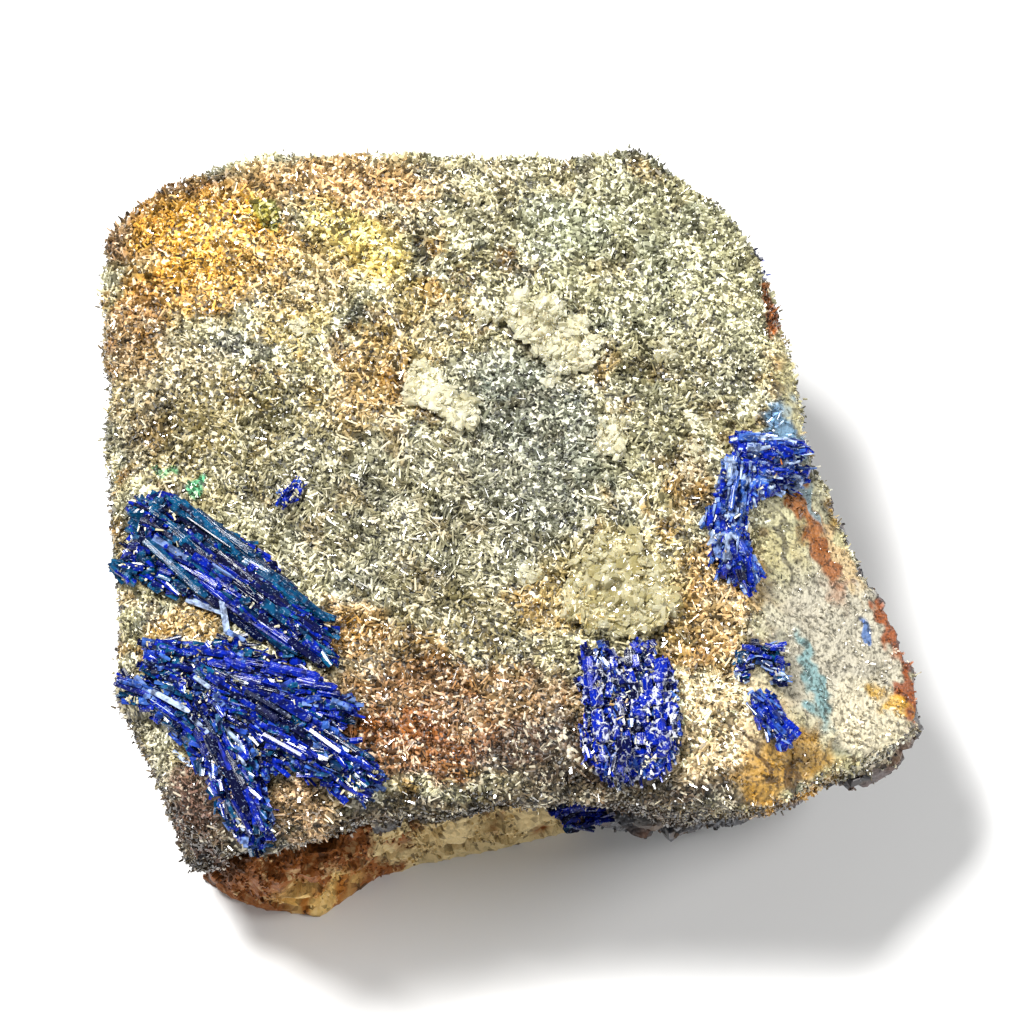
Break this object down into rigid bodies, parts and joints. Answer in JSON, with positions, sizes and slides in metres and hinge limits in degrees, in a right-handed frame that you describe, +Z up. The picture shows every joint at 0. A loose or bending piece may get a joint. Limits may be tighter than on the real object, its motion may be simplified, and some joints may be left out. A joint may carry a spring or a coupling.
{
  "type": "galena mineral specimen",
  "caption": "Blocky hand specimen of galena ore with a sparkling crystal crust on its broad face, fans of blue bladed crystals and a seam of vein quartz under its front edge.",
  "frame": {"origin": "middle of the box that encloses the specimen, on the plane that it rests on", "axes": "+Z up out of the crusted face, +X to the right and +Y away from the side with the quartz seam"},
  "size_m": [0.0559, 0.051, 0.0237],
  "materials": {
    "crusted_galena": "massive lead-grey galena under a crust of small sparkling crystals, stained ochre and brown in patches",
    "vein_quartz": "broken translucent vein quartz with rusty limonite stains",
    "blue_crystal": "glassy royal-blue bladed crystals, striated along their length",
    "pale_crystal": "translucent pale yellow-white crystals with a resinous shine"
  },
  "bodies": {
    "root": {"galena_matrix": "crusted_galena", "quartz_seam": "vein_quartz", "blue_blades_upper_left": "blue_crystal", "blue_blades_lower_left": "blue_crystal", "blue_block_front": "blue_crystal", "blue_vein_right": "blue_crystal", "blue_streak_lower_right": "blue_crystal", "blue_chips_lower_right": "blue_crystal", "blue_speck_centre": "blue_crystal", "blue_ledge_front": "blue_crystal", "pale_rosette_upper": "pale_crystal", "pale_cluster_left": "pale_crystal", "pale_cluster_right": "pale_crystal", "pale_mass_lower": "pale_crystal"}
  },
  "joints": []
}
